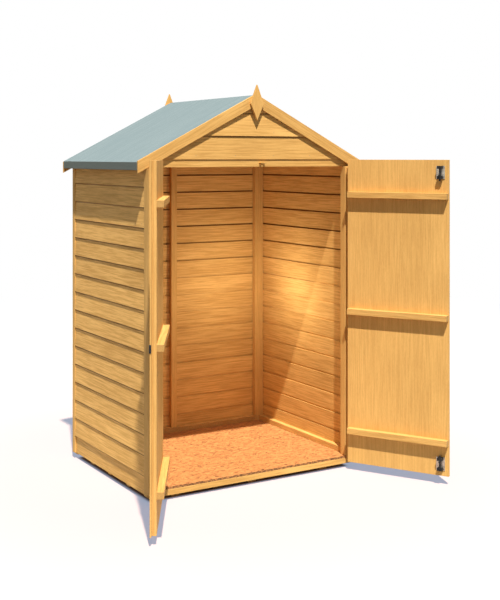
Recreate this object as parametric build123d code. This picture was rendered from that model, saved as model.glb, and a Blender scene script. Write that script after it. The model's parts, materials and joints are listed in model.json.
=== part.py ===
from build123d import *
import os
from math import cos, radians, tan

# Small garden shed of lapped boards: apex roof under felt, double doors in the gable front
# Millimetres, +X right, +Y to the back, +Z up, origin on the ground under the middle of the floor

# Overall
width = 1195.0            # over the side cladding
depth = 920.0             # front of the posts to the back cladding
ridge_height = 1928.0     # top of the felt at the ridge
eave_overhang = 47.5      # felt beyond the side cladding
pitch = 27.2              # slope of the roof, in degrees
overrun = 50.0            # spare length on every cut
clearance = 5.0           # between a moving piece and its neighbours
joint_gap = 1.0           # left where two boards stop short of each other

# Floor
bearer_height = 23.0
bearer_width = 45.0
bearer_inset = 40.0
bearer_spacing = 430.0
joist_height = 28.0
joist_width = 35.0
joist_count = 5
floor_thickness = 12.0

# Lapped cladding
board = 5.0               # thickness of one board
exposure = 97.0           # height of a board that shows outside
lap = 30.0                # height hidden under the board above
wall_foot = 31.0          # lower edge of the cladding above the ground
first_lap = 123.0         # lower edge of the second board
gable_exposure = 115.0    # the boards of the gable front are wider
gable_drop = 1.0          # the gable boards hang over the header
trim_width = 31.0         # corner trims on the side walls
trim_thickness = 11.0

# Framing
batten = 28.0
post_width = 45.0
post_depth = 40.0
stud_width = 35.0         # upright in the middle of the back wall
stud_depth = 22.0
rafter_height = 31.0      # measured plumb
ridge_beam_height = 50.0

# Roof
sheet_thickness = 12.0
felt_thickness = 3.0
eave_drop = 38.0          # height of the felt turned down at the eaves
eave_batten_width = 22.0
back_overhang = 12.0      # roof sheet beyond the back wall
barge_thickness = 10.0
barge_height = 59.0       # measured plumb
barge_rise = 5.0          # above the felt at the front
back_barge_drop = 3.0     # below the felt at the back
finial_thickness = 12.0
finial_width = 75.0
finial_rise = 45.0        # tip above the bargeboards' peak
finial_waist_drop = 50.0  # widest place below the peak
finial_foot_drop = 132.0  # lower tip below the peak

# Doors
leaf_thickness = 16.0
door_foot = 42.0
door_drop = 3.0           # top of the doors below the roof at the side walls
door_gap = 6.0            # between the two doors when they are shut
hinge_gap = 6.0           # between a door and its jamb
jamb_width = 46.5
open_angle = 119.5        # as it stands, in degrees
ledge_height = 30.0
ledge_depth = 31.0
ledge_setback = 1.0       # from the free edge
ledge_foot_inset = 167.0  # bottom of the door to the middle of the lowest ledge
ledge_head_inset = 181.0  # top of the door to the middle of the highest ledge

# T hinges
strap_length = 260.0
strap_thickness = 2.0
strap_root = 34.0
strap_tip = 18.0
plate_width = 30.0
plate_height = 96.0
plate_setback = 3.0       # from the edge of the leaf or jamb to the plate
knuckle_radius = 4.6
knuckle_height = 22.0
knuckle_gap = 0.6
pin_radius = 2.5
pin_clearance = 0.08

# Tower bolts on the right door
bolt_inset = 41.0         # from the free edge to the rod
bolt_plate_width = 44.0
bolt_plate_thickness = 3.0
bolt_height = 65.0
bolt_floor_gap = 7.0      # bottom bolt above the floor
bolt_head_inset = 30.0    # top bolt below the top of the door
loop_height = 15.0
loop_width = 26.0
loop_wall = 3.0
rod_radius = 4.5
rod_clearance = 0.08
rod_offset = 14.0         # from the face of the door to the rod
rod_tail = 10.0           # rod beyond its rear loop
knob_radius = 4.0
knob_length = 14.0
knob_level = 19.0         # from the rear end of the case to the knob
keep_thickness = 3.0
keep_width = 32.0
keep_gap = 12.0           # above the top bolt
keep_rim = 2.0            # metal left in front of the hole
hole_radius = 6.5

# Strip over the meeting edges of the doors, with its hasp
strip_thickness = 12.0
strip_width = 30.0        # on the left leaf
lip_reach = 20.0          # beyond the left leaf
hasp_height = 35.0
hasp_thickness = 2.5

# Planes that the pieces share
front = -depth / 2
back = depth / 2
clad = 2 * board
frame_x = width / 2 - clad
frame_back = back - clad
trim_x = frame_x + trim_thickness
joist_foot = bearer_height
sheet_foot = joist_foot + joist_height
floor_top = sheet_foot + floor_thickness
slope = tan(radians(pitch))
felt_plumb = felt_thickness / cos(radians(pitch))
sheet_plumb = sheet_thickness / cos(radians(pitch))
ridge_under = ridge_height - felt_plumb - sheet_plumb
roof_front = front + barge_thickness
roof_back = back + back_overhang
gable_plane = roof_front + clad
plate_top = ridge_under - slope * frame_x
barge_peak = ridge_height + barge_rise
header_foot = barge_peak - slope * frame_x - barge_height - joint_gap
trim_head = barge_peak - slope * trim_x - barge_height - joint_gap
eave_reach = width / 2 + eave_overhang
sheet_reach = eave_reach - felt_thickness
eave_foot = ridge_height - slope * eave_reach - eave_drop
post_inner = frame_x - post_width
back_post_inner = frame_x - 2 * batten
door_head = plate_top - door_drop
middle_ledge = (door_foot + door_head) / 2
ledge_levels = (door_foot + ledge_foot_inset, middle_ledge, door_head - ledge_head_inset)
door_inner = front - clearance
door_outer = door_inner - leaf_thickness
jamb_inner = trim_x - jamb_width
hinge_edge = jamb_inner - hinge_gap
free_edge = door_gap / 2
pivot_x = jamb_inner - hinge_gap / 2
pivot_y = door_outer - knuckle_radius
rod_x = free_edge + bolt_inset
rod_y = door_inner + rod_offset
bolt_foot = floor_top + bolt_floor_gap
bolt_head = door_head - bolt_head_inset
keep_level = bolt_head + keep_gap
keep_left = rod_x - keep_width / 2
keep_right = rod_x + keep_width / 2


def under(x):
    """Height of the underside of the roof sheet at a distance from the ridge line."""
    return ridge_under - slope * x


def block(x0, x1, y0, y1, z0, z1):
    """Box between two corners."""
    middle = Pos((x0 + x1) / 2, (y0 + y1) / 2, (z0 + z1) / 2)
    return middle * Box(x1 - x0, y1 - y0, z1 - z0)


def prism_y(points, y0, y1):
    """Outline of (x, z) points carried from y0 to y1."""
    plane = Plane(origin=(0, y0, 0), x_dir=(1, 0, 0), z_dir=(0, -1, 0))
    return extrude(plane * Polygon(*points, align=None), amount=y1 - y0, dir=(0, 1, 0))


def prism_x(points, x0, x1):
    """Outline of (y, z) points carried from x0 to x1."""
    plane = Plane(origin=(x0, 0, 0), x_dir=(0, 1, 0), z_dir=(1, 0, 0))
    return extrude(plane * Polygon(*points, align=None), amount=x1 - x0, dir=(1, 0, 0))


def rod(radius, x, y, z0, z1):
    """Upright round bar."""
    return Pos(x, y, (z0 + z1) / 2) * Cylinder(radius, z1 - z0)


def left_of(shape):
    """The same piece on the other side of the ridge line."""
    return mirror(shape, about=Plane.YZ)


def both_sides(shape):
    return [left_of(shape), shape]


def save(name, *solids):
    """Write one node with its solids."""
    shape = solids[0] if len(solids) == 1 else Compound(children=list(solids))
    export_step(shape, os.path.join("parts", name + ".step"))


def lapped_outline(foot, first, top, show):
    """Section of a wall of lapped boards, as (distance out of the frame, height) points.

    The lowest board lies flat on the frame; each of the others leans out over the one below."""
    rise = show + lap
    feet = [first]
    while feet[-1] + rise < top:
        feet.append(feet[-1] + show)
    outside = [(0, foot), (board, foot), (board, first)]
    inside = [(0, first + lap)]
    for z in feet:
        upper = top if z == feet[-1] else z + show
        head = top if z == feet[-1] else z + rise
        outside += [(clad, z), (clad - board * (upper - z) / rise, upper)]
        inside += [(board * (1 - lap / rise), z + lap), (board * (1 - (head - z) / rise), head)]
    return outside + inside[::-1]


def floor():
    xs = (-bearer_spacing, 0, bearer_spacing)
    save("floor_bearers", *[block(x - bearer_width / 2, x + bearer_width / 2, front + bearer_inset,
                                  back - bearer_inset, 0, bearer_height) for x in xs])
    step = (frame_back - front - joist_width) / (joist_count - 1)
    starts = [front + step * i for i in range(joist_count)]
    save("floor_joists", *[block(-frame_x, frame_x, y, y + joist_width, joist_foot, sheet_foot) for y in starts])
    sheet = block(-frame_x, frame_x, front, frame_back, sheet_foot, floor_top)
    save("floor_sheet", sheet - rod(hole_radius, rod_x, rod_y, sheet_foot - overrun, floor_top + overrun))


def side_walls():
    outline = lapped_outline(wall_foot, first_lap, under(width / 2), exposure)
    boards = prism_y([(frame_x + u, z) for u, z in outline], front + trim_width, back - trim_width)
    save("left_wall_boards", left_of(boards))
    save("right_wall_boards", boards)
    front_trim = block(frame_x, trim_x, front, front + trim_width, wall_foot, trim_head)
    front_trim += block(frame_x, trim_x, roof_front, front + trim_width, trim_head, under(trim_x))
    back_trim = block(frame_x, trim_x, back - trim_width, back, wall_foot, under(trim_x))
    save("front_corner_trims", *both_sides(front_trim))
    save("back_corner_trims", *both_sides(back_trim))


def rails():
    rear = frame_back - batten
    foot = block(frame_x - batten, frame_x, front + post_depth, rear, floor_top, floor_top + batten)
    head = block(frame_x - batten, frame_x, gable_plane + batten, rear, plate_top - batten, plate_top)
    back_foot = block(-back_post_inner, back_post_inner, rear, frame_back, floor_top, floor_top + batten)
    back_head = block(-back_post_inner, back_post_inner, rear, frame_back, plate_top - batten, plate_top)
    save("bottom_rails", *both_sides(foot), back_foot)
    save("top_rails", *both_sides(head), back_head)


def posts():
    front_post = block(post_inner, frame_x, front, front + post_depth, floor_top, header_foot)
    back_post = block(back_post_inner, frame_x, frame_back - batten, frame_back, floor_top, plate_top)
    for place, post in (("front", front_post), ("back", back_post)):
        save(place + "_left_post", left_of(post))
        save(place + "_right_post", post)
    save("back_wall_stud", block(-stud_width / 2, stud_width / 2, frame_back - stud_depth, frame_back,
                                 floor_top + batten, plate_top - batten))


def rafter(y):
    """Right-hand rafter that stands on the rail below it."""
    half = batten / 2
    tail_x = frame_x - batten
    heel_x = (ridge_under - rafter_height - plate_top) / slope
    points = [(half, under(half)), (tail_x, under(tail_x)), (tail_x, plate_top), (heel_x, plate_top),
              (half, under(half) - rafter_height)]
    return prism_y(points, y, y + batten)


def gables():
    roof_line = [(-frame_x, 0), (frame_x, 0), (frame_x, plate_top), (0, ridge_under), (-frame_x, plate_top)]
    inside_roof = prism_y(roof_line, front - overrun, back + overrun)
    outline = lapped_outline(wall_foot, first_lap, ridge_height, exposure)
    boards = prism_x([(frame_back + u, z) for u, z in outline], -frame_x, frame_x)
    save("back_wall_boards", boards & inside_roof)
    foot = plate_top - gable_drop
    outline = lapped_outline(foot, foot + gable_exposure, ridge_height, gable_exposure)
    boards = prism_x([(gable_plane - u, z) for u, z in outline], -frame_x, frame_x)
    save("front_gable_boards", boards & inside_roof)
    header = block(-frame_x, frame_x, gable_plane, gable_plane + batten, header_foot, plate_top)
    header -= block(keep_left, keep_right, gable_plane - overrun, gable_plane + batten + overrun,
                    keep_level, keep_level + keep_thickness)
    save("front_header", header)
    save("gable_rafters", *both_sides(rafter(gable_plane)), *both_sides(rafter(frame_back - batten)))
    jamb = block(jamb_inner, trim_x, door_outer, front, door_foot, trim_head)
    save("door_jambs", *both_sides(jamb))


def roof():
    half = batten / 2
    foot = under(half) - ridge_beam_height
    beam = [(-half, under(half)), (0, ridge_under), (half, under(half)), (half, foot), (-half, foot)]
    save("ridge_beam", prism_y(beam, gable_plane, frame_back))
    sheet = [(0, ridge_under), (sheet_reach, under(sheet_reach)),
             (sheet_reach, under(sheet_reach) + sheet_plumb), (0, ridge_under + sheet_plumb)]
    save("left_roof_sheet", left_of(prism_y(sheet, roof_front, roof_back)))
    save("right_roof_sheet", prism_y(sheet, roof_front, roof_back))
    eave_x = sheet_reach - eave_batten_width
    eave = [(eave_x, eave_foot), (sheet_reach, eave_foot), (sheet_reach, under(sheet_reach)), (eave_x, under(eave_x))]
    save("eave_battens", *both_sides(prism_y(eave, roof_front, roof_back)))
    felt = [(0, ridge_under + sheet_plumb), (sheet_reach, under(sheet_reach) + sheet_plumb), (sheet_reach, eave_foot),
            (eave_reach, eave_foot), (eave_reach, ridge_height - slope * eave_reach), (0, ridge_height)]
    save("left_roof_felt", left_of(prism_y(felt, roof_front, roof_back)))
    save("right_roof_felt", prism_y(felt, roof_front, roof_back))


def gable_trim():
    for place, y, peak in (("front", front, barge_peak), ("back", roof_back, ridge_height - back_barge_drop)):
        tail = peak - slope * eave_reach
        outline = [(0, peak), (eave_reach, tail), (eave_reach, tail - barge_height), (0, peak - barge_height)]
        barge = prism_y(outline, y, y + barge_thickness)
        save(place + "_left_bargeboard", left_of(barge))
        save(place + "_right_bargeboard", barge)
    half = finial_width / 2
    waist = barge_peak - finial_waist_drop
    kite = [(0, barge_peak + finial_rise), (half, waist), (0, barge_peak - finial_foot_drop), (-half, waist)]
    outside = roof_back + barge_thickness
    save("front_finial", prism_y(kite, front - finial_thickness, front))
    save("back_finial", prism_y(kite, outside, outside + finial_thickness))


def swing(shape):
    """Turn a piece of the right door from shut to how it stands, about its hinge pins."""
    return Pos(pivot_x, pivot_y) * Rot(0, 0, open_angle) * Pos(-pivot_x, -pivot_y) * shape


def hinge_plate(z):
    """Fixed plate of a T hinge on the right jamb, with its two knuckles and the pin."""
    half = knuckle_height / 2
    start = jamb_inner + plate_setback
    face = door_outer - strap_thickness
    plate = block(start, start + plate_width, face, door_outer, z - plate_height / 2, z + plate_height / 2)
    for low in (z + half + knuckle_gap, z - half - knuckle_gap - knuckle_height):
        plate += rod(knuckle_radius, pivot_x, pivot_y, low, low + knuckle_height)
        plate += block(pivot_x, start, face, door_outer, low, low + knuckle_height)
    return plate + rod(pin_radius, pivot_x, pivot_y, z - half - knuckle_height, z + half + knuckle_height)


def hinge_strap(z):
    """Long leaf of a T hinge on the face of the right door, with its knuckle."""
    half = knuckle_height / 2
    face = door_outer - strap_thickness
    root_x = hinge_edge - plate_setback
    tip_x = root_x - strap_length
    outline = [(root_x, z - strap_root / 2), (root_x, z + strap_root / 2),
               (tip_x, z + strap_tip / 2), (tip_x, z - strap_tip / 2)]
    strap = prism_y(outline, face, door_outer)
    tip = Plane(origin=(tip_x, door_outer, z), x_dir=(1, 0, 0), z_dir=(0, -1, 0))
    strap += extrude(tip * Circle(strap_tip / 2), amount=strap_thickness)
    strap += block(root_x, pivot_x, face, door_outer, z - half, z + half)
    strap += rod(knuckle_radius, pivot_x, pivot_y, z - half, z + half)
    return strap - rod(pin_radius + pin_clearance, pivot_x, pivot_y, z - half - overrun, z + half + overrun)


def ledge(z):
    return block(free_edge + ledge_setback, post_inner - clearance, door_inner, door_inner + ledge_depth,
                 z - ledge_height / 2, z + ledge_height / 2)


def doors():
    leaf = swing(block(free_edge, hinge_edge, door_outer, door_inner, door_foot, door_head))
    ledges = [swing(ledge(z)) for z in ledge_levels]
    straps = [swing(hinge_strap(z)) for z in ledge_levels]
    plates = [hinge_plate(z) for z in ledge_levels]
    save("right_door_leaf", leaf)
    save("left_door_leaf", left_of(leaf))
    save("right_door_ledges", *ledges)
    save("left_door_ledges", *[left_of(piece) for piece in ledges])
    save("right_hinge_straps", *straps)
    save("left_hinge_straps", *[left_of(piece) for piece in straps])
    save("hinge_plates", *plates, *[left_of(piece) for piece in plates])


def bolt_case(foot):
    """Back plate of a tower bolt with the two loops that guide its rod."""
    case = block(rod_x - bolt_plate_width / 2, rod_x + bolt_plate_width / 2, door_inner,
                 door_inner + bolt_plate_thickness, foot, foot + bolt_height)
    for low in (foot, foot + bolt_height - loop_height):
        case += block(rod_x - loop_width / 2, rod_x + loop_width / 2, door_inner,
                      rod_y + rod_radius + loop_wall, low, low + loop_height)
    return case - rod(rod_radius + rod_clearance, rod_x, rod_y, foot - overrun, foot + bolt_height + overrun)


def bolt_rod(z0, z1, knob_z):
    """Sliding rod of a tower bolt with its knob."""
    knob = Plane(origin=(rod_x, rod_y, knob_z), x_dir=(1, 0, 0), z_dir=(0, 1, 0))
    return rod(rod_radius, rod_x, rod_y, z0, z1) + extrude(knob * Circle(knob_radius), amount=knob_length)


def bolts():
    top_foot = bolt_head - bolt_height
    bottom_head = bolt_foot + bolt_height
    save("top_bolt_case", swing(bolt_case(top_foot)))
    save("bottom_bolt_case", swing(bolt_case(bolt_foot)))
    save("top_bolt_rod", swing(bolt_rod(top_foot - rod_tail, bolt_head, top_foot + knob_level)))
    save("bottom_bolt_rod", swing(bolt_rod(bolt_foot, bottom_head + rod_tail, bottom_head - knob_level)))
    keep = block(keep_left, keep_right, rod_y - hole_radius - keep_rim, gable_plane + batten,
                 keep_level, keep_level + keep_thickness)
    save("top_bolt_keep", keep - rod(hole_radius, rod_x, rod_y, keep_level - overrun, keep_level + overrun))


def meeting_edge():
    """Strip on the left door that covers the gap between the doors, and the hasp on its edge."""
    face = door_outer - strip_thickness
    lip_back = door_outer - clearance
    lip_edge = free_edge - lip_reach
    strip = block(free_edge, free_edge + strip_width, face, door_outer, door_foot, door_head)
    strip += block(lip_edge, free_edge, face, lip_back, door_foot, door_head)
    save("meeting_strip", left_of(swing(strip)))
    z0, z1 = middle_ledge - hasp_height / 2, middle_ledge + hasp_height / 2
    hasp = block(lip_edge - hasp_thickness, free_edge + strip_width, face - hasp_thickness, face, z0, z1)
    hasp += block(lip_edge - hasp_thickness, lip_edge, face, lip_back, z0, z1)
    save("hasp", left_of(swing(hasp)))


os.makedirs("parts", exist_ok=True)
floor()
side_walls()
rails()
posts()
gables()
roof()
gable_trim()
doors()
bolts()
meeting_edge()
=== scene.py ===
import json
import math
import random

import bpy
from mathutils import Matrix, Vector


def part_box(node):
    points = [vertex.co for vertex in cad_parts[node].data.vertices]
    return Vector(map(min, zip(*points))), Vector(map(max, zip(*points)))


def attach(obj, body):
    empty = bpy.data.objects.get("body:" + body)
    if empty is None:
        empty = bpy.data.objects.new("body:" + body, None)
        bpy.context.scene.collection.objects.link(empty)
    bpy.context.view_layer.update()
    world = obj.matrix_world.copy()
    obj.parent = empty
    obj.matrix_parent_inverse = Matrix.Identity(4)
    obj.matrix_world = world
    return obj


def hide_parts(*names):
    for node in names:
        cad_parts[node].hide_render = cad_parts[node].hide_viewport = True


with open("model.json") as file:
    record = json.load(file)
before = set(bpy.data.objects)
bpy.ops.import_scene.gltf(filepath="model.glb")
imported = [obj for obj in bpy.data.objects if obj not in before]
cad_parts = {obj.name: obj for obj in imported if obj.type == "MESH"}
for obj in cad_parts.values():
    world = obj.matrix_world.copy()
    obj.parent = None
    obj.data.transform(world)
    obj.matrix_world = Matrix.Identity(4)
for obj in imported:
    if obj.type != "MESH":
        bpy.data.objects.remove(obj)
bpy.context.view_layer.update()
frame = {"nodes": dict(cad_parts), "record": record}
nodes = frame["nodes"]
behaviour = frame["record"]["behaviour"]
body_of_node = {node: body for body, members in behaviour["bodies"].items() for node in members}

MM = 0.001

# Sizes that the boards, doors and fixings follow, in metres
BOARD = 5 * MM              # thickness of a cladding board at its foot
BOARD_TOP = 3.4 * MM        # and at its feathered top edge
SKIRT = 2.8 * MM            # thickness of the lowest board
WALL_EXPOSURE = 97 * MM     # height of a board that shows
GABLE_EXPOSURE = 115 * MM
LAP = 30 * MM
WALL_FOOT = 31 * MM
FIRST_LAP = 123 * MM
ROOF_SHEET = 12 * MM        # thickness of the sheet under the felt
PITCH = math.radians(27.2)
OPEN_ANGLE = math.radians(119.5)
ARRIS = 1.0 * MM            # eased edge of a sawn board
SHEET_ARRIS = 0.8 * MM      # of a strand board
FELT_ARRIS = 1.4 * MM
IRON_ARRIS = 0.4 * MM
CASE_ARRIS = 0.5 * MM       # of a tower bolt's case
GROOVE_HEIGHT = 8 * MM      # open part of the rebate over the top of the board below
GROOVE_DEPTH = 3.2 * MM
LAP_SHADE_STRIP = 7 * MM          # strip of painted shade in the corner under each lap
LAP_PAINTED_SHADE = 0.80            # how dark that painted shade is
REBATE_PAINTED_SHADE = 0.85         # painted shade in the rebates
LEAF = 16 * MM              # thickness of a door
DOOR_BOARDS = 6             # in each door
DOOR_TONE = 0.3             # of the darkest door board, where the darkest of all is 0
DOOR_TONES = 0.4            # from there to the lightest
DOOR_GAP = 3 * MM           # from a leaf to its pivot, and to the middle of the doorway
HALF_LEDGE = 15 * MM
V_JOINT = 2.5 * MM          # chamfer along the outer edges of a door board
STRAP = 2 * MM              # thickness of a hinge strap
KNUCKLE = 4.6 * MM          # radius of a hinge knuckle
BOLT_PLATE = 3 * MM         # back plate of a tower bolt
BOLT_LINE = 41 * MM         # from the free edge of the door to the middle of a bolt
NAIL_RADIUS = 1.8 * MM
NAIL_RISE = 0.5 * MM
NAIL_LEVEL = 18 * MM        # above the foot of a board
NAIL_SEAT = 0.95            # share of the lowest board's thickness at which its nails sit
NAIL_CLEAR = 40 * MM        # from the roof line to the nearest nail
NAIL_SPREAD = 0.3           # from the middle of a door board, as a share of its width
NAIL_STAGGER = 22 * MM      # above or below the middle of a ledge
RIM = 0.3 * MM              # rounding of the rim of a nail or screw
SCREW_RADIUS = 3.4 * MM
SCREW_RISE = 0.5 * MM       # countersunk heads stand almost flush
SCREW_SOCKET = 0.4 * MM     # depth of the driver's socket
SMALL_SCREW = 0.62          # screws of a tower bolt against those of a hinge
COACH_RADIUS = 6.0 * MM
COACH_RISE = 2.2 * MM
COACH_RIM = 1.8 * MM
COACH_PLACE = 55 * MM       # from the hinge edge, along a strap
STRAP_SCREWS = (115 * MM, 175 * MM, 235 * MM)
PLATE_SCREWS = (            # out from the pivot, up from the middle of the strap
    (28 * MM, 38 * MM), (16 * MM, 34 * MM), (28 * MM, -38 * MM), (16 * MM, -34 * MM))
BOLT_SCREW_ACROSS = 17 * MM
BOLT_SCREW_INSET = 22 * MM  # from the ends of a tower bolt
WELD = 1e-6                 # vertices closer than this are one
FLAT_ANGLE = math.radians(0.5)
BEVEL_ANGLE = math.radians(30)
SMOOTH_ANGLE = math.radians(35)


# Finishes

class Socket:
    """One socket of a finish, so that its maths reads as an expression."""

    def __init__(self, finish, socket):
        self.finish = finish
        self.socket = socket

    def math(self, operation, first, second):
        return self.finish.add("ShaderNodeMath", {"operation": operation}, {0: first, 1: second})

    def __add__(self, other):
        return self.math("ADD", self, other)

    def __radd__(self, other):
        return self.math("ADD", other, self)

    def __sub__(self, other):
        return self.math("SUBTRACT", self, other)

    def __rsub__(self, other):
        return self.math("SUBTRACT", other, self)

    def __mul__(self, other):
        return self.math("MULTIPLY", self, other)

    def __rmul__(self, other):
        return self.math("MULTIPLY", other, self)

    def __gt__(self, other):
        return self.math("GREATER_THAN", self, other)

    def __lt__(self, other):
        return self.math("LESS_THAN", self, other)


class Finish:
    """A node tree that is put together from expressions."""

    def __init__(self, tree):
        self.tree = tree
        self.tree.nodes.clear()

    def add(self, kind, settings=None, sockets=None, out=0):
        """Add one node: its type, its settings, the values or links of its sockets, the output to use."""
        node = self.tree.nodes.new(kind)
        for key, value in (settings or {}).items():
            setattr(node, key, value)
        for key, value in (sockets or {}).items():
            socket = self.find(node.inputs, key)
            if isinstance(value, Socket):
                self.tree.links.new(value.socket, socket)
            else:
                socket.default_value = value
        return Socket(self, self.find(node.outputs, out)) if node.outputs else node

    @staticmethod
    def find(sockets, key):
        """A socket by its number, its identifier or its name."""
        if isinstance(key, int):
            return sockets[key]
        return next(s for s in sockets if key in (s.identifier, s.name))

    def coordinates(self, kind="Object"):
        return self.add("ShaderNodeTexCoord", None, None, kind)

    def attribute(self, name):
        return self.add("ShaderNodeAttribute", {"attribute_name": name}, None, "Fac")

    def axis(self, vector, name):
        return self.add("ShaderNodeSeparateXYZ", None, {"Vector": vector}, name)

    def channel(self, colour, name):
        return self.add("ShaderNodeSeparateColor", None, {"Color": colour}, name)

    def mix(self, share, first, second):
        """Blend two colours."""
        return self.add("ShaderNodeMix", {"data_type": "RGBA"},
                        {"Factor_Float": share, "A_Color": first, "B_Color": second}, "Result_Color")

    def tinted(self, colour, tint):
        """Multiply two colours."""
        return self.add("ShaderNodeMix", {"data_type": "RGBA", "blend_type": "MULTIPLY"},
                        {"Factor_Float": 1.0, "A_Color": colour, "B_Color": tint}, "Result_Color")

    def soft_step(self, value, low, high):
        """0 below low, 1 above high, smooth between."""
        return self.add("ShaderNodeMapRange", {"interpolation_type": "SMOOTHSTEP"},
                        {"Value": value, "From Min": low, "From Max": high}, "Result")

    def scaled(self, vector, scale, turn=(0, 0, 0), shift=(0, 0, 0)):
        return self.add("ShaderNodeMapping", None,
                        {"Vector": vector, "Scale": scale, "Rotation": turn, "Location": shift}, "Vector")

    def noise(self, vector, scale, detail=3.0, roughness=0.55, distortion=0.0, out="Fac"):
        return self.add("ShaderNodeTexNoise", None,
                        {"Vector": vector, "Scale": scale, "Detail": detail,
                         "Roughness": roughness, "Distortion": distortion}, out)

    def cells(self, vector, scale):
        """Cells, each of one random colour."""
        return self.add("ShaderNodeTexVoronoi", None, {"Vector": vector, "Scale": scale}, "Color")

    def bump(self, height, strength, distance):
        return self.add("ShaderNodeBump", None,
                        {"Height": height, "Strength": strength, "Distance": distance}, "Normal")

    def matt(self, colour):
        return self.add("ShaderNodeBsdfDiffuse", None, {"Color": colour}, "BSDF")

    def glow(self, colour):
        return self.add("ShaderNodeEmission", None, {"Color": colour, "Strength": 1.0}, "Emission")

    def layered(self, share, first, second):
        """Blend two shaders."""
        return self.add("ShaderNodeMixShader", None, {0: share, 1: first, 2: second}, "Shader")


def surface(name, colour_of, **sockets):
    """A material whose colour, roughness and bump come from a function on its finish."""
    material = bpy.data.materials.new(name)
    material.use_nodes = True
    finish = Finish(material.node_tree)
    values = {**sockets, **colour_of(finish)}
    shader = finish.add("ShaderNodeBsdfPrincipled", None, values, "BSDF")
    finish.add("ShaderNodeOutputMaterial", None, {"Surface": shader})
    return material


def rgb(red, green, blue):
    return (red, green, blue, 1.0)


WHITE = rgb(1, 1, 1)


def timber(name, axis, turn=(0, 0, 0), painted_light=1.0, figure=1.0):
    """Honey-dipped pine; its grain runs along one axis once the piece is turned straight."""
    light = rgb(0.775, 0.455, 0.143)
    middle = rgb(0.68, 0.384, 0.112)
    dark = rgb(0.46, 0.232, 0.054)
    end_grain = rgb(0.42, 0.225, 0.070)
    # colour of the painted shade under the laps and in the rebates
    painted_shade = rgb(0.30, 0.25, 0.20)
    dull_patch, clear_patch = rgb(0.92, 0.905, 0.88), rgb(1.03, 1.03, 1.03)
    # painted light: the lift writes a whole wall's colour paler
    dark_board = rgb(0.94 * painted_light, 0.93 * painted_light, 0.91 * painted_light)
    light_board = rgb(1.04 * painted_light, 1.045 * painted_light, 1.05 * painted_light)
    rebate_shade_heights = (0.85, 1.25)      # heights over which painted shade fills the rebates, above the inside lamp

    def stretch(along, across):
        return tuple(along if i == axis else across for i in range(3))

    def grain(f):
        place = f.coordinates()
        offset = f.attribute("board")
        shift = f.add("ShaderNodeCombineXYZ", None,
                      {"X": offset * 3.1, "Y": offset * 5.7, "Z": offset * 4.3}, "Vector")
        straight = f.scaled(place, (1, 1, 1), turn)
        straight = f.add("ShaderNodeVectorMath", {"operation": "ADD"}, {0: straight, 1: shift}, "Vector")
        fibres = f.noise(f.scaled(straight, stretch(6.0, 170.0)), 1.0, 2.0, 0.6, 0.2)
        pores = f.noise(f.scaled(straight, stretch(60.0, 900.0)), 1.0, 2.0, 0.5)
        bands = f.noise(f.scaled(straight, stretch(2.2, 26.0)), 1.0, 2.0, 0.5, 0.5)
        clouds = f.noise(straight, 2.6, 2.0, 0.5)
        streaks = f.soft_step(fibres * 0.86 + bands * 0.14, 0.36, 0.62)
        colour = f.mix(streaks, dark, f.mix(f.soft_step(bands, 0.3, 0.7), middle, light))
        plain = f.mix(f.soft_step(pores, 0.35, 0.65), middle, light)
        colour = f.mix(1.0 - 0.55 * figure, colour, plain)
        colour = f.tinted(colour, f.mix(f.soft_step(clouds, 0.25, 0.75), dull_patch, clear_patch))
        colour = f.tinted(colour, f.mix(offset, dark_board, light_board))
        # painted shade: the strip under each lap and, above the inside lamp, the rebates are written
        # darker
        rebates = f.attribute("rebate") * f.soft_step(f.axis(place, "Z"), *rebate_shade_heights)
        colour = f.tinted(colour, f.mix(f.attribute("pooled_dip") + rebates, WHITE, painted_shade))
        rings = f.noise(f.scaled(straight, stretch(4.0, 120.0)), 1.0, 1.0, 0.5, 2.5)
        facing = f.axis(f.scaled(f.coordinates("Normal"), (1, 1, 1), turn), "XYZ"[axis])
        sawn_end = f.soft_step(facing * facing, 0.7, 0.95)
        colour = f.mix(sawn_end * (0.35 + 0.5 * rings), colour, end_grain)
        return {"Base Color": colour, "Roughness": 0.76 - streaks * 0.12,
                "Normal": f.bump(fibres * 0.6 + pores * 0.2 + bands * 0.2, 0.35, 0.0006)}

    return surface(name, grain, **{"Specular IOR Level": 0.3})


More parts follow.
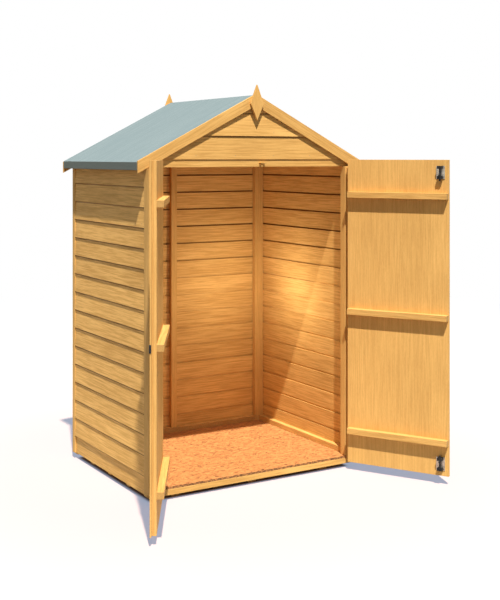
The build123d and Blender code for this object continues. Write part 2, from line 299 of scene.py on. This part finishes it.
def strand_board(name):
    """Pressed board of flat strands that lie every way."""
    dark, light = rgb(0.31, 0.110, 0.033), rgb(0.565, 0.252, 0.078)
    hollow = rgb(0.19, 0.062, 0.021)
    fibre = rgb(0.51, 0.23, 0.078)
    dark_chip, light_chip = rgb(0.15, 0.066, 0.024), rgb(0.42, 0.18, 0.060)
    lays = ((0.2, 0.0), (1.25, 3.7), (2.3, 7.9))      # turn and shift of each layer of strands

    def strands(f):
        place = f.coordinates()
        wobble = f.noise(place, 14.0, 2.0, 0.5, 0.0, "Color")
        place = f.add("ShaderNodeVectorMath", {"operation": "MULTIPLY_ADD"},
                      {0: wobble, 1: (0.03, 0.03, 0.0), 2: place}, "Vector")
        layers = []
        for turn, shift in lays:
            flakes = f.cells(f.scaled(place, (42, 150, 1), (0, 0, turn), (shift, shift, 0)), 1.0)
            layers.append(f.channel(flakes, "Red"))
        chosen = f.channel(f.cells(place, 60.0), "Green")
        first = chosen > 0.66
        second = chosen > 0.33
        tone = first * layers[0] + (1 - first) * (second * layers[1] + (1 - second) * layers[2])
        fibres = f.noise(f.scaled(place, (60, 420, 1), (0, 0, 0.6)), 1.0, 3.0)
        colour = f.mix(tone, dark, light)
        colour = f.mix(f.soft_step(tone, 0.0, 0.26), hollow, colour)
        colour = f.mix(fibres * 0.3, colour, fibre)
        upward = f.axis(f.coordinates("Normal"), "Z")
        chips = f.noise(f.scaled(place, (110, 110, 160)), 1.0, 2.0)
        sawn_edge = f.mix(f.soft_step(chips, 0.42, 0.62), dark_chip, light_chip)
        colour = f.mix(f.soft_step(upward * upward, 0.3, 0.7), sawn_edge, colour)
        return {"Base Color": colour, "Roughness": 0.62 + tone * 0.18,
                "Normal": f.bump(tone + fibres * 0.3, 0.3, 0.0012)}

    return surface(name, strands, **{"Specular IOR Level": 0.3})


def mineral_felt(name):
    """Bitumen felt with a coat of grey-green mineral grit."""
    dark, light = rgb(0.126, 0.171, 0.181), rgb(0.234, 0.289, 0.299)
    worn = rgb(0.150, 0.200, 0.212)
    cut_and_shaded_edge = rgb(0.135, 0.155, 0.140)

    def grit(f):
        place = f.coordinates()
        grains = f.channel(f.cells(place, 620.0), "Red")
        fine = f.noise(place, 900.0, 2.0)
        clouds = f.noise(place, 5.0, 3.0)
        streaks = f.noise(f.scaled(place, (3.0, 40.0, 3.0)), 1.0, 3.0)
        speckle = grains * 0.6 + fine * 0.4
        wear = f.soft_step(clouds, 0.3, 0.7) * 0.2 + f.soft_step(streaks, 0.38, 0.62) * 0.6
        colour = f.mix(wear, f.mix(speckle, dark, light), worn)
        # the felt's cut edges, and painted shade on the turned-down eave edge: faces turned sideways or
        # down are written darker
        upward = f.axis(f.coordinates("Normal"), "Z")
        colour = f.mix(f.soft_step(upward, 0.3, 0.7), cut_and_shaded_edge, colour)
        return {"Base Color": colour, "Roughness": 0.86 - fine * 0.1,
                "Normal": f.bump(speckle, 0.35, 0.0008)}

    return surface(name, grit, **{"Specular IOR Level": 0.25})


def black_iron(name):
    """Iron in satin black paint, with a little dust."""
    black, dusty = rgb(0.012, 0.012, 0.013), rgb(0.035, 0.033, 0.031)

    def paint(f):
        place = f.coordinates()
        peel = f.noise(place, 700.0, 2.0)
        dust = f.soft_step(f.noise(place, 45.0, 3.0), 0.45, 0.75)
        return {"Base Color": f.mix(dust, black, dusty), "Roughness": 0.52 + dust * 0.2,
                "Normal": f.bump(peel, 0.18, 0.0004)}

    return surface(name, paint, **{"Specular IOR Level": 0.25})


def zinc_plate(name, dark, bright):
    """Zinc plating, brushed, with duller places."""
    def spangle(f):
        place = f.coordinates()
        brushed = f.noise(f.scaled(place, (900, 900, 60)), 1.0, 3.0)
        dull = f.noise(place, 90.0, 3.0)
        colour = f.mix(f.soft_step(dull, 0.25, 0.75), dark, bright)
        return {"Base Color": colour, "Roughness": 0.36 + brushed * 0.2,
                "Normal": f.bump(brushed, 0.1, 0.0003)}

    return surface(name, spangle, Metallic=1.0)


X, Y, Z = range(3)
DOOR_TURN = math.pi - OPEN_ANGLE     # from the wall's line to the open door's
BOLD, QUIET = 1.1, 0.6               # how strongly the grain shows
LEFT_WALL_PAINTED_LIGHT = 1.16                         # painted light: the left wall is written paler than the rest, for the sun it barely gets
TIMBER_X = timber("timber_grain_x", X, figure=BOLD)
TIMBER_Y = timber("timber_grain_y", Y, figure=BOLD)
TIMBER_LEFT_WALL_PAINTED_LIGHT = timber("timber_left_wall", Y, painted_light=LEFT_WALL_PAINTED_LIGHT, figure=BOLD)
TIMBER_Z = timber("timber_grain_z", Z, figure=QUIET)
TIMBER_LEFT_SLOPE = timber("timber_grain_left_slope", X, (0, PITCH, 0))
TIMBER_RIGHT_SLOPE = timber("timber_grain_right_slope", X, (0, -PITCH, 0))
TIMBER_LEFT_LEDGE = timber("timber_grain_left_ledge", X, (0, 0, -DOOR_TURN))
TIMBER_RIGHT_LEDGE = timber("timber_grain_right_ledge", X, (0, 0, DOOR_TURN))
STRAND_BOARD = strand_board("strand_board")
FELT = mineral_felt("mineral_felt")
IRON = black_iron("black_iron")
ZINC = zinc_plate("zinc_plate", rgb(0.44, 0.40, 0.33), rgb(0.58, 0.53, 0.44))
DULL_ZINC = zinc_plate("dull_zinc", rgb(0.26, 0.22, 0.16), rgb(0.38, 0.33, 0.25))
YELLOW_ZINC = zinc_plate("yellow_zinc", rgb(0.50, 0.31, 0.10), rgb(0.66, 0.43, 0.15))


# Modelling by hand

def deselect():
    """Leave edit mode with nothing selected."""
    if bpy.context.mode != "OBJECT":
        bpy.ops.object.mode_set(mode="OBJECT")
    bpy.ops.object.select_all(action="DESELECT")


def pick(piece):
    """Select one piece and make it the active one."""
    deselect()
    piece.select_set(True)
    bpy.context.view_layer.objects.active = piece


def settle(piece):
    """Put a piece's place, turn and size into its mesh."""
    pick(piece)
    bpy.ops.object.transform_apply(location=True, rotation=True, scale=True)


def dress(piece, name, body, slot, material, *stands_for):
    """Name a piece, give it its finish and set it on its body."""
    piece.name = name
    piece.data.name = name
    piece.data.materials.clear()
    piece.data.materials.append(material)
    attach(piece, body)
    if stands_for:
        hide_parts(*stands_for)
    return piece


def smooth(piece):
    """Round the eased edges and keep the broad faces flat."""
    pick(piece)
    bpy.ops.object.shade_smooth_by_angle(angle=SMOOTH_ANGLE)
    flat = piece.modifiers.new("flat", "WEIGHTED_NORMAL")
    flat.weight = 100
    flat.keep_sharp = True
    bpy.ops.object.modifier_apply(modifier="flat")


def eased(node, slot, material, width=ARRIS, segments=2):
    """A CAD node with its sawn or stamped edges taken off."""
    source = nodes[node]
    piece = bpy.data.objects.new(node + "_eased", source.data.copy())
    bpy.context.scene.collection.objects.link(piece)
    pick(piece)
    bpy.ops.object.mode_set(mode="EDIT")
    bpy.ops.mesh.select_all(action="SELECT")
    bpy.ops.mesh.remove_doubles(threshold=WELD)
    bpy.ops.mesh.dissolve_limited(angle_limit=FLAT_ANGLE)
    bpy.ops.object.mode_set(mode="OBJECT")
    edge = piece.modifiers.new("edge", "BEVEL")
    edge.width = width
    edge.segments = segments
    edge.limit_method = "ANGLE"
    edge.angle_limit = BEVEL_ANGLE
    bpy.ops.object.modifier_apply(modifier="edge")
    smooth(piece)
    return dress(piece, node + "_eased", body_of_node[node], slot, material, node)


def faces_out(face):
    """A face on the outside of a board whose outside is +y."""
    return face.normal.y > 0.9


def faces_in(face):
    """A face on the inside of such a board."""
    return face.normal.y < -0.9


def select_where(piece, test):
    """Select the vertices of a mesh in edit mode by their place."""
    bpy.ops.object.mode_set(mode="OBJECT")
    mesh = piece.data
    for polygon in mesh.polygons:
        polygon.select = False
    for edge in mesh.edges:
        edge.select = False
    for vertex in mesh.vertices:
        vertex.select = test(vertex.co)
    bpy.ops.object.mode_set(mode="EDIT")


def mark_faces(piece, name, share, test):
    """Mark the faces that are written darker as painted shade, each with how dark it is."""
    bpy.ops.object.mode_set(mode="OBJECT")
    marks = piece.data.attributes.new(name, "FLOAT", "FACE")
    marks.data.foreach_set("value", [share if test(face) else 0.0 for face in piece.data.polygons])
    bpy.ops.object.mode_set(mode="EDIT")


def model_board(length, height, leaning, lapped=True, depth=BOARD):
    """One cladding board: x along it, y out of the wall, z up from its foot.

    A leaning board lies on the one below; a lapped one has another on top.
    """
    deselect()
    bpy.ops.mesh.primitive_cube_add(size=1, location=(0, depth / 2, height / 2),
                                    scale=(length, depth, height))
    board = bpy.context.object
    settle(board)
    bpy.ops.object.mode_set(mode="EDIT")
    bpy.ops.mesh.select_mode(type="VERT")
    if leaning:
        select_where(board, lambda co: co.z < height / 2)
        bpy.ops.transform.translate(value=(0, BOARD, 0))
    select_where(board, lambda co: co.z > height / 2 and co.y > depth / 2)
    bpy.ops.transform.translate(value=(0, depth * (BOARD_TOP / BOARD - 1), 0))
    bpy.ops.mesh.select_all(action="SELECT")
    bpy.ops.mesh.bevel(offset=ARRIS, segments=2, affect="EDGES")
    if leaning:
        cut_groove(board)
    if lapped:
        # painted shade: a strip of the outside just under the board above is written darker
        strip = (height - LAP - LAP_SHADE_STRIP, height - LAP)
        for level in strip:
            select_faces(board, faces_out)
            bpy.ops.mesh.bisect(plane_co=(0, 0, level), plane_no=(0, 0, 1))
        mark_faces(board, "pooled_dip", LAP_PAINTED_SHADE,
                   lambda face: faces_out(face) and strip[0] < face.center.z < strip[1])
    bpy.ops.object.mode_set(mode="OBJECT")
    return board


def cut_groove(board):
    """The rebate along the inside of a board, a little taller than the board below needs."""
    low, high = LAP, LAP + GROOVE_HEIGHT
    slack = 0.01 * MM
    for level in (low, high):
        select_faces(board, faces_in)
        bpy.ops.mesh.bisect(plane_co=(0, 0, level), plane_no=(0, 0, 1))
    select_faces(board, lambda face: faces_in(face) and low < face.center.z < high)
    bpy.ops.mesh.extrude_region_move(TRANSFORM_OT_translate={"value": (0, GROOVE_DEPTH, 0)})
    # painted shade on the faces of the rebate
    mark_faces(board, "rebate", REBATE_PAINTED_SHADE,
               lambda face: face.normal.y < 0.5 and abs(face.normal.x) < 0.5
               and low - slack < face.center.z < high + slack)


def select_faces(piece, test):
    """Select the faces of a mesh in edit mode by their place or direction."""
    bpy.ops.mesh.select_mode(type="FACE")
    bpy.ops.mesh.select_all(action="DESELECT")
    bpy.ops.object.mode_set(mode="OBJECT")
    for face in piece.data.polygons:
        face.select = test(face)
    bpy.ops.object.mode_set(mode="EDIT")


def copy_of(piece, matrix, tone=None):
    """A copy with a mesh of its own, set in place."""
    twin = bpy.data.objects.new(piece.name, piece.data.copy())
    bpy.context.scene.collection.objects.link(twin)
    twin.data.transform(matrix)
    if tone is not None:
        board = twin.data.attributes.new("board", "FLOAT", "FACE")
        board.data.foreach_set("value", [tone] * len(twin.data.polygons))
    return twin


def join(pieces):
    """Make several pieces one."""
    deselect()
    for piece in pieces:
        piece.select_set(True)
    bpy.context.view_layer.objects.active = pieces[0]
    bpy.ops.object.join()
    return bpy.context.object


def discard(*pieces):
    for piece in pieces:
        mesh = piece.data
        bpy.data.objects.remove(piece)
        bpy.data.meshes.remove(mesh)


def cut_below(piece, point, normal):
    """Keep what lies under a plane, and close the cut."""
    pick(piece)
    bpy.ops.object.mode_set(mode="EDIT")
    bpy.ops.mesh.select_all(action="SELECT")
    bpy.ops.mesh.bisect(plane_co=point, plane_no=normal, use_fill=True, clear_outer=True)
    bpy.ops.mesh.select_all(action="SELECT")
    bpy.ops.mesh.remove_doubles(threshold=WELD)
    bpy.ops.mesh.fill_holes(sides=0)
    bpy.ops.mesh.normals_make_consistent(inside=False)
    bpy.ops.object.mode_set(mode="OBJECT")


def course_feet(first, exposure, top):
    """Heights of the feet of the boards above the lowest one."""
    feet = [first]
    while feet[-1] + exposure + LAP < top:
        feet.append(feet[-1] + exposure)
    return feet


def clad(node, name, turn, plane, material, foot, first, exposure, seed, studs,
         roof=False, skirt=SKIRT):
    """Lay the boards of one wall from the foot up, nail them to the studs and cut them to the roof."""
    low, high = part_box(node)
    along = X if abs(math.cos(turn)) > 0.5 else Y
    length = high[along] - low[along]
    top = high.z + (LAP if roof else 0)
    feet = course_feet(first, exposure, top)
    place = Matrix.Translation(plane) @ Matrix.Rotation(turn, 4, "Z")
    tones = random.Random(seed)
    boards = []
    lowest = model_board(length, first - foot + LAP, False, depth=skirt)
    course = model_board(length, exposure + LAP, True)
    highest = model_board(length, top - feet[-1], True, False)
    boards.append(copy_of(lowest, place @ Matrix.Translation((0, 0, foot)), tones.random()))
    for z in feet:
        board = highest if z == feet[-1] else course
        boards.append(copy_of(board, place @ Matrix.Translation((0, 0, z)), tones.random()))
    discard(lowest, course, highest)
    wall = join(boards)
    if roof:
        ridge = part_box("left_roof_sheet")[1].z - ROOF_SHEET / math.cos(PITCH)
        for side in (-1, 1):
            cut_below(wall, (0, 0, ridge), (side * math.sin(PITCH), 0, math.cos(PITCH)))
    smooth(wall)
    dress(wall, name, "shed", "timber", material, node)
    lean = math.atan2(2 * BOARD - BOARD_TOP, exposure + LAP)
    face = 2 * BOARD - math.tan(lean) * NAIL_LEVEL
    nails = [place @ facing_out((x, skirt * NAIL_SEAT, foot + NAIL_LEVEL)) for x in studs]
    for z in feet:
        level = z + NAIL_LEVEL
        reach = (ridge - level) / math.tan(PITCH) - NAIL_CLEAR if roof else length
        nails += [place @ facing_out((x, face, level), lean) for x in studs if abs(x) < reach]
    drive(NAIL, nails, name + "_nails", "shed", "zinc", DULL_ZINC)


def blacken_loops(case):
    """Black paint on the loops of a tower bolt; its back plate stays bright."""
    slack = 0.1 * MM
    case.data.materials.append(IRON)
    off_door = Vector((-math.sin(OPEN_ANGLE), math.cos(OPEN_ANGLE), 0))
    near = min(vertex.co.dot(off_door) for vertex in case.data.vertices)
    for face in case.data.polygons:
        face.material_index = int(face.center.dot(off_door) > near + BOLT_PLATE + slack)


def model_head(name, radius, rise, sides, rounding, socket):
    """The head of a nail, screw or coach bolt: z out of the wood, its rim rounded, with any socket."""
    socket_inset, socket_taper, near_rim = 0.5, 0.7, 0.9
    deselect()
    bpy.ops.mesh.primitive_cylinder_add(vertices=sides, radius=radius, depth=2 * rise,
                                        location=(0, 0, 0))
    head = bpy.context.object
    head.name = name
    bpy.ops.object.mode_set(mode="EDIT")
    bpy.ops.mesh.select_mode(type="FACE")
    bpy.ops.mesh.select_all(action="DESELECT")
    select_where(head, lambda co: co.z > 0)
    bpy.ops.mesh.select_mode(type="FACE")
    if socket:
        bpy.ops.mesh.inset(thickness=radius * socket_inset)
        bpy.ops.mesh.extrude_region_move(TRANSFORM_OT_translate={"value": (0, 0, -socket)})
        bpy.ops.transform.resize(value=(socket_taper, socket_taper, 1))
    bpy.ops.mesh.select_mode(type="VERT")
    select_where(head, lambda co: co.z > 0 and co.xy.length > radius * near_rim)
    bpy.ops.mesh.bevel(offset=rounding, segments=3, affect="EDGES")
    bpy.ops.object.mode_set(mode="OBJECT")
    smooth(head)
    return head


def facing_out(point, lean=0.0):
    """Stand a head on the outside of a wall whose outside is +y; a leaning board looks up a little."""
    return Matrix.Translation(point) @ Matrix.Rotation(lean - math.pi / 2, 4, "X")


def drive(head, places, name, body, slot, material):
    """Set copies of a head in their places, as one piece."""
    heads = join([copy_of(head, place) for place in places])
    return dress(heads, name, body, slot, material)


NAIL = model_head("nail", NAIL_RADIUS, NAIL_RISE, 10, RIM, 0)
SCREW = model_head("screw", SCREW_RADIUS, SCREW_RISE, 12, RIM, SCREW_SOCKET)
COACH = model_head("coach_bolt", COACH_RADIUS, COACH_RISE, 20, COACH_RIM, 0)

LEFT, RIGHT, BACK, FRONT = math.radians(90), math.radians(-90), 0.0, math.radians(180)
left_low, left_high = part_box("left_wall_boards")
right_low, right_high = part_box("right_wall_boards")
back_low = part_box("back_wall_boards")[0]
gable_low, gable_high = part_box("front_gable_boards")
SIDE_STUDS = (-0.40, 0.40)
BACK_STUDS = (-0.55, 0.0, 0.55)
GABLE_STUDS = (-0.50, -0.33, -0.11, 0.11, 0.33, 0.50)
WALL_COURSES = (WALL_FOOT, FIRST_LAP, WALL_EXPOSURE)
GABLE_COURSES = (gable_low.z, gable_low.z + GABLE_EXPOSURE, GABLE_EXPOSURE)
clad("left_wall_boards", "left_wall_cladding", LEFT,
     (left_high.x, (left_low.y + left_high.y) / 2, 0), TIMBER_LEFT_WALL_PAINTED_LIGHT,
     *WALL_COURSES, 11, SIDE_STUDS)
clad("right_wall_boards", "right_wall_cladding", RIGHT,
     (right_low.x, (right_low.y + right_high.y) / 2, 0), TIMBER_Y,
     *WALL_COURSES, 12, SIDE_STUDS)
clad("back_wall_boards", "back_wall_cladding", BACK, (0, back_low.y, 0), TIMBER_X,
     *WALL_COURSES, 13, BACK_STUDS, True)
clad("front_gable_boards", "front_gable_cladding", FRONT, (0, gable_high.y, 0), TIMBER_X,
     *GABLE_COURSES, 14, GABLE_STUDS, True, BOARD)

for node, material in (
        ("floor_bearers", TIMBER_Y), ("floor_joists", TIMBER_X), ("front_corner_trims", TIMBER_Z),
        ("back_corner_trims", TIMBER_Z), ("bottom_rails", TIMBER_Y), ("top_rails", TIMBER_Y),
        ("front_left_post", TIMBER_Z), ("front_right_post", TIMBER_Z), ("back_left_post", TIMBER_Z),
        ("back_right_post", TIMBER_Z), ("back_wall_stud", TIMBER_Z), ("front_header", TIMBER_X),
        ("gable_rafters", TIMBER_X), ("door_jambs", TIMBER_Z), ("ridge_beam", TIMBER_Y),
        ("eave_battens", TIMBER_Y),
        ("front_left_bargeboard", TIMBER_LEFT_SLOPE), ("front_right_bargeboard", TIMBER_RIGHT_SLOPE),
        ("back_left_bargeboard", TIMBER_LEFT_SLOPE), ("back_right_bargeboard", TIMBER_RIGHT_SLOPE),
        ("front_finial", TIMBER_Z), ("back_finial", TIMBER_Z), ("left_door_ledges", TIMBER_LEFT_LEDGE),
        ("right_door_ledges", TIMBER_RIGHT_LEDGE), ("meeting_strip", TIMBER_Z)):
    eased(node, "timber", material)
for node in ("floor_sheet", "left_roof_sheet", "right_roof_sheet"):
    eased(node, "strand_board", STRAND_BOARD, SHEET_ARRIS)
for node in ("left_roof_felt", "right_roof_felt"):
    eased(node, "felt", FELT, FELT_ARRIS, 3)
for node in ("hinge_plates", "left_hinge_straps", "hasp", "right_hinge_straps",
             "top_bolt_rod", "bottom_bolt_rod"):
    eased(node, "black_iron", IRON, IRON_ARRIS)
eased("top_bolt_keep", "zinc", YELLOW_ZINC, IRON_ARRIS)
for node in ("top_bolt_case", "bottom_bolt_case"):
    blacken_loops(eased(node, "zinc", ZINC, CASE_ARRIS))


# Doors: boards with a V joint outside, nailed to the ledges, and the fixings of their ironwork

SIDE_NAME = {-1: "left", 1: "right"}


def hinge_line(side):
    """Where the hinges of a door turn, seen from above."""
    name = SIDE_NAME[side] + "_door_hinge"
    return next(joint["pos_m"][:2] for joint in behaviour["joints"] if joint["name"] == name)


def opened(side, point, outside=True):
    """Place on a door as it stands, from a place on the shut right door; the left door mirrors it."""
    pivot = Vector((*hinge_line(side), 0))
    swing = (Matrix.Translation(pivot) @ Matrix.Rotation(side * OPEN_ANGLE, 4, "Z")
             @ Matrix.Translation(-pivot))
    outward = Matrix.Rotation(math.pi / 2 if outside else -math.pi / 2, 4, "X")
    return swing @ Matrix.Translation((side * point[0], point[1], point[2])) @ outward


def model_door_board(width, height):
    """One board of a door, stood on its foot: x across it, y up it, z out of the shed."""
    deselect()
    bpy.ops.mesh.primitive_cube_add(size=1, location=(0, height / 2, -LEAF / 2),
                                    scale=(width, height, LEAF))
    board = bpy.context.object
    settle(board)
    bpy.ops.object.mode_set(mode="EDIT")
    bpy.ops.mesh.select_mode(type="EDGE")
    for right in (False, True):
        select_where(board, lambda co: co.z > -LEAF / 2 and (co.x > 0) == right)
        bpy.ops.mesh.select_mode(type="EDGE")
        bpy.ops.mesh.bevel(offset=V_JOINT, segments=1, affect="EDGES")
        bpy.ops.mesh.select_mode(type="VERT")
    for top in (False, True):
        select_where(board, lambda co: (co.y > height / 2) == top)
        bpy.ops.mesh.bevel(offset=ARRIS, segments=2, affect="EDGES")
    bpy.ops.object.mode_set(mode="OBJECT")
    return board


pivot_x, pivot_y = hinge_line(1)
HINGE_EDGE = pivot_x - DOOR_GAP
FREE_EDGE = DOOR_GAP
DOOR_FACE = pivot_y + KNUCKLE
leaf_low, leaf_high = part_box("right_door_leaf")
ledge_low, ledge_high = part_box("right_door_ledges")
LEDGES = (ledge_low.z + HALF_LEDGE, (leaf_low.z + leaf_high.z) / 2, ledge_high.z - HALF_LEDGE)
board_width = (HINGE_EDGE - FREE_EDGE) / DOOR_BOARDS
nail_step = NAIL_SPREAD * board_width
door_board = model_door_board(board_width, leaf_high.z - leaf_low.z)
tones = random.Random(21)
for side, name in SIDE_NAME.items():
    boards, nails, coaches, screws, plates = [], [], [], [], []
    for number in range(DOOR_BOARDS):
        middle = FREE_EDGE + (number + 0.5) * board_width
        foot = opened(side, (middle, DOOR_FACE, leaf_low.z))
        boards.append(copy_of(door_board, foot, DOOR_TONE + DOOR_TONES * tones.random()))
        if number < DOOR_BOARDS - 1:
            nails += [opened(side, (middle + step, DOOR_FACE, z + rise)) for z in LEDGES
                      for step, rise in ((-nail_step, NAIL_STAGGER), (nail_step, -NAIL_STAGGER))]
    for z in LEDGES:
        coaches.append(opened(side, (HINGE_EDGE - COACH_PLACE, DOOR_FACE - STRAP, z)))
        screws += [opened(side, (HINGE_EDGE - along, DOOR_FACE - STRAP, z)) for along in STRAP_SCREWS]
        plates += [Matrix.Translation((side * (pivot_x + along), DOOR_FACE - STRAP, z + rise))
                   @ Matrix.Rotation(math.pi / 2, 4, "X") for along, rise in PLATE_SCREWS]
    door = join(boards)
    smooth(door)
    dress(door, name + "_door_boards", name + "_door", "timber", TIMBER_Z, name + "_door_leaf")
    drive(NAIL, nails, name + "_door_nails", name + "_door", "zinc", DULL_ZINC)
    drive(COACH, coaches, name + "_strap_bolts", name + "_door", "black_iron", IRON)
    drive(SCREW, screws, name + "_strap_screws", name + "_door", "black_iron", IRON)
    drive(SCREW, plates, name + "_plate_screws", "shed", "black_iron", IRON)
bolt_screws = []
for node in ("top_bolt_case", "bottom_bolt_case"):
    low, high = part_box(node)
    for across in (-BOLT_SCREW_ACROSS, BOLT_SCREW_ACROSS):
        for z in (low.z + BOLT_SCREW_INSET, high.z - BOLT_SCREW_INSET):
            spot = (FREE_EDGE + BOLT_LINE + across, DOOR_FACE + LEAF + BOLT_PLATE, z)
            bolt_screws.append(opened(1, spot, False) @ Matrix.Scale(SMALL_SCREW, 4))
drive(SCREW, bolt_screws, "bolt_screws", "right_door", "zinc", DULL_ZINC)
discard(door_board, NAIL, SCREW, COACH)


# Floor, light and camera

FLOOR_SIZE = 120
NEAR_FLOOR = (1.6, 3.4)         # from the pale floor that lights the shed to the dim one
CREAM_FLOOR = (0.9, 2.8)        # from the cream floor seen near the shed, a painted warm tint of light, to the clear one
WHITE_FLOOR = (3.0, 7.0)        # from there to plain white
SHED_SHADE = 0.03               # soft edge of the painted shade under the shed, where the floor's glow is left out
SUN_FROM = (-0.187, -0.5, 1.0)
SUN_POWER = 7.1
SUN_WIDTH = math.radians(1.2)
LAMP_PLACE = (0.29, 0.05, 0.89)
LAMP_POWER = 5.6
LAMP_RADIUS = 0.025
SKY_POWER = 0.29
CAMERA_PLACE = (-2.793, -5.016, 1.626)
CAMERA_TURN = math.radians(-31.178)
CAMERA_LENS = 64.74
CAMERA_SHIFT = -0.2404


def seen_white(f):
    """1 for the rays that see the backdrop itself: direct, in a reflection or through a clear piece."""
    return sum(f.add("ShaderNodeLightPath", None, None, ray) for ray in
               ("Is Camera Ray", "Is Glossy Ray", "Is Transmission Ray"))


def stage_floor():
    """A pale floor that keeps the shed's shadow and fades to white."""
    deselect()
    bpy.ops.mesh.primitive_plane_add(size=FLOOR_SIZE)
    ground = bpy.context.object
    ground.name = "studio_floor"
    material = bpy.data.materials.new("pale_floor")
    material.use_nodes = True
    f = Finish(material.node_tree)
    place = f.coordinates()
    distance = f.add("ShaderNodeVectorMath", {"operation": "LENGTH"}, {0: place}, "Value")
    pale, dim = f.matt(rgb(0.37, 0.365, 0.35)), f.matt(rgb(0.10, 0.10, 0.10))
    plain = f.layered(f.soft_step(distance, *NEAR_FLOOR), pale, dim)
    # painted light: near the shed the floor that is seen is written cream, a warm tint of light laid into
    # its colour
    cream, clear = f.matt(rgb(0.42, 0.297, 0.243)), f.matt(rgb(0.42, 0.38, 0.32))
    lit = f.layered(f.soft_step(distance, *CREAM_FLOOR), cream, clear)
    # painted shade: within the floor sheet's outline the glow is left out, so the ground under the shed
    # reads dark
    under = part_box("floor_sheet")[1]
    away = []
    for name, half in (("X", under.x), ("Y", under.y)):
        aside = f.add("ShaderNodeMath", {"operation": "ABSOLUTE"}, {0: f.axis(place, name)})
        away.append(f.soft_step(aside, half - SHED_SHADE, half))
    outside_painted_shade = away[0] + away[1] - away[0] * away[1]
    near = f.add("ShaderNodeAddShader", None, {0: lit, 1: f.glow(rgb(0.27, 0.333, 0.447))}, "Shader")
    near = f.layered(outside_painted_shade, lit, near)
    seen = f.layered(f.soft_step(distance, *WHITE_FLOOR), near, f.glow(WHITE))
    f.add("ShaderNodeOutputMaterial", None, {"Surface": f.layered(seen_white(f), plain, seen)})
    ground.data.materials.append(material)


def studio_light():
    """A high sun in front, a small lamp inside the shed and a soft sky."""
    sun_data = bpy.data.lights.new("key_light", "SUN")
    sun_data.energy = SUN_POWER
    sun_data.angle = SUN_WIDTH
    sun_data.color = (1.0, 0.97, 0.91)
    sun = bpy.data.objects.new("key_light", sun_data)
    sun.rotation_euler = Vector(SUN_FROM).to_track_quat("Z", "Y").to_euler()
    bpy.context.scene.collection.objects.link(sun)
    inside_data = bpy.data.lights.new("inside_light", "POINT")
    inside_data.shadow_soft_size = LAMP_RADIUS
    inside_data.energy = LAMP_POWER
    inside_data.color = (1.0, 0.96, 0.88)
    inside = bpy.data.objects.new("inside_light", inside_data)
    inside.location = LAMP_PLACE
    inside.visible_camera = False
    inside.visible_glossy = False
    bpy.context.scene.collection.objects.link(inside)
    world = bpy.data.worlds.new("studio")
    world.use_nodes = True
    bpy.context.scene.world = world
    f = Finish(world.node_tree)
    soft, white = (f.add("ShaderNodeBackground", None, {"Color": colour, "Strength": power}, "Background")
                   for colour, power in ((rgb(0.88, 0.94, 1.0), SKY_POWER), (WHITE, 1.0)))
    f.add("ShaderNodeOutputWorld", None, {"Surface": f.layered(seen_white(f), soft, white)})


def studio_camera():
    """A level camera in front, to the left of the doors."""
    lens = bpy.data.cameras.new("camera")
    lens.lens = CAMERA_LENS
    lens.sensor_width = 36.0
    lens.shift_y = CAMERA_SHIFT
    lens.clip_end = 200.0
    camera = bpy.data.objects.new("camera", lens)
    camera.location = CAMERA_PLACE
    camera.rotation_euler = (math.radians(90), 0, CAMERA_TURN)
    bpy.context.scene.collection.objects.link(camera)
    bpy.context.scene.camera = camera


stage_floor()
studio_light()
studio_camera()
bpy.context.scene.view_settings.view_transform = "Standard"

deselect()
bpy.context.view_layer.update()
